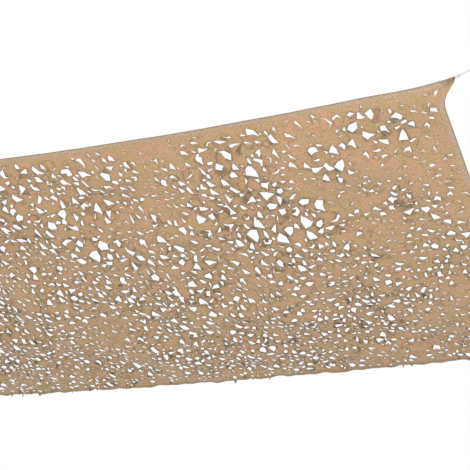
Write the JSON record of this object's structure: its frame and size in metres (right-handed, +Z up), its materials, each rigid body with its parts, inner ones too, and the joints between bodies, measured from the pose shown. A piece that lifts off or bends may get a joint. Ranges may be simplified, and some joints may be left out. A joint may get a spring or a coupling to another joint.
{
  "type": "leaf-cut net shade sail",
  "caption": "Rectangular leaf-cut net shade sail with a folded hem, stretched overhead between corner ties.",
  "frame": {"origin": "the drawn-out tip of the near right corner, where its tie holds the cloth", "axes": "+X along the long edges towards the right-hand corners, +Y from the near long edge to the far one, +Z up"},
  "size_m": [4.495, 2.0818, 0.8633],
  "materials": {
    "net_cloth": "matt coated polyester cloth, sand colour, cut into leaves",
    "tie_cord": "pale grey braided cord"
  },
  "bodies": {
    "root": {"net": "net_cloth", "knot_near_left": "tie_cord", "knot_near_right": "tie_cord", "knot_far_left": "tie_cord", "knot_far_right": "tie_cord", "tie_near_left": "tie_cord", "tie_near_right": "tie_cord", "tie_far_left": "tie_cord", "tie_far_right": "tie_cord", "stopper_near_left": "tie_cord", "stopper_near_right": "tie_cord", "stopper_far_left": "tie_cord", "stopper_far_right": "tie_cord"}
  },
  "joints": []
}
